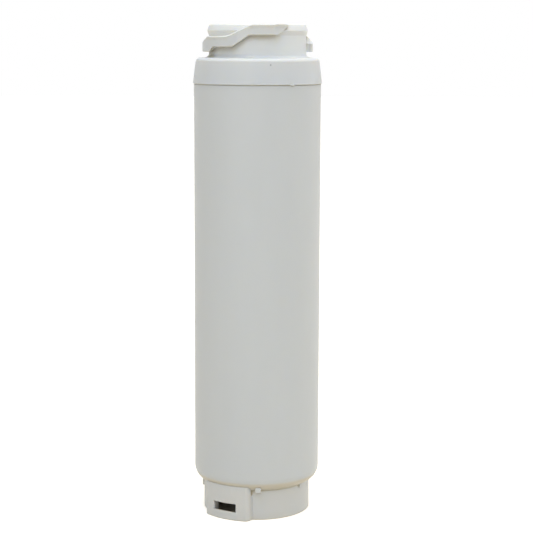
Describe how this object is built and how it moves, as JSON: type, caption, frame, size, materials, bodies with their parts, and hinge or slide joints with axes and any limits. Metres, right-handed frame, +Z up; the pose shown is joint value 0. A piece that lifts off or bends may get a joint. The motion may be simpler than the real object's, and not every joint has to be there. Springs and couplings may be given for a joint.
{
  "type": "fridge water filter cartridge",
  "caption": "Slim white cylindrical water filter cartridge with a bayonet neck, S-shaped cam lugs, a ported stem and a slotted base ring for a turning knob.",
  "frame": {"origin": "on the table, under the cartridge's axis", "axes": "+Z up along the cartridge towards its neck, -Y towards the front"},
  "size_m": [0.0694, 0.0694, 0.2656],
  "materials": {
    "shell_plastic": "satin moulded",
    "closure_plastic": "satin moulded",
    "base_plastic": "satin moulded",
    "stem_plastic": "smooth moulded",
    "cap_plastic": "moulded",
    "net_plastic": "extruded",
    "seal_rubber": "smooth",
    "bound_carbon": "gritty",
    "nonwoven": "felted"
  },
  "bodies": {
    "root": {"housing_shell": "shell_plastic", "top_closure": "closure_plastic", "port_stem": "stem_plastic", "inlet_o_ring": "seal_rubber", "outlet_o_ring": "seal_rubber", "upper_end_cap": "cap_plastic", "end_cap_o_ring": "seal_rubber", "carbon_block": "bound_carbon", "prefilter_wrap": "nonwoven", "support_net": "net_plastic", "lower_end_cap": "cap_plastic", "base_cap": "base_plastic"}
  },
  "joints": []
}
